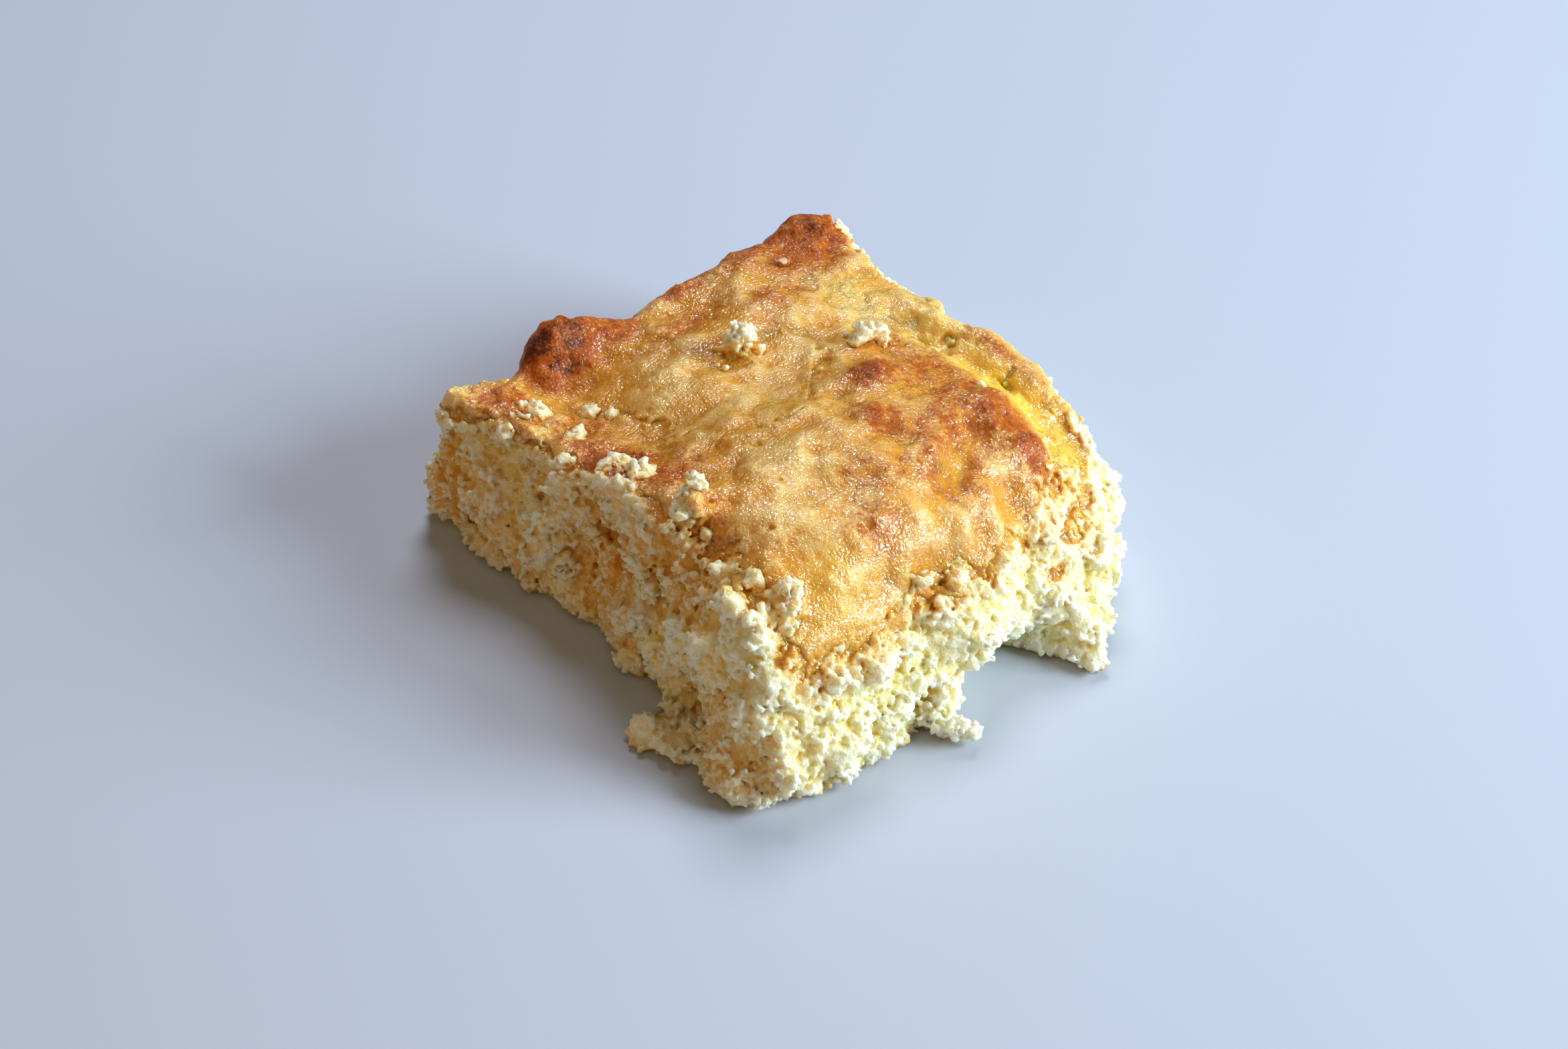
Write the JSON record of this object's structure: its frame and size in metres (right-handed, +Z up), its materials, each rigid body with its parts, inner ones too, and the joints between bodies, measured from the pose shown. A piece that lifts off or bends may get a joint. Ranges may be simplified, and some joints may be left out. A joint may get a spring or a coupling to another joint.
{
  "type": "cornbread square",
  "caption": "Square of cornbread with a browned, buttery crust on top, torn crumbly sides and a flat base to rest on.",
  "frame": {"origin": "middle of the piece's box, on the surface it rests on", "axes": "+Z up; -Y and -X are the torn sides, +Y the side that stood against the pan, +X the cut side"},
  "size_m": [0.0868, 0.091, 0.0345],
  "materials": {
    "cornbread": "open pale yellow crumb with a glossy golden-brown crust"
  },
  "bodies": {
    "root": {"cornbread": "cornbread"}
  },
  "joints": []
}
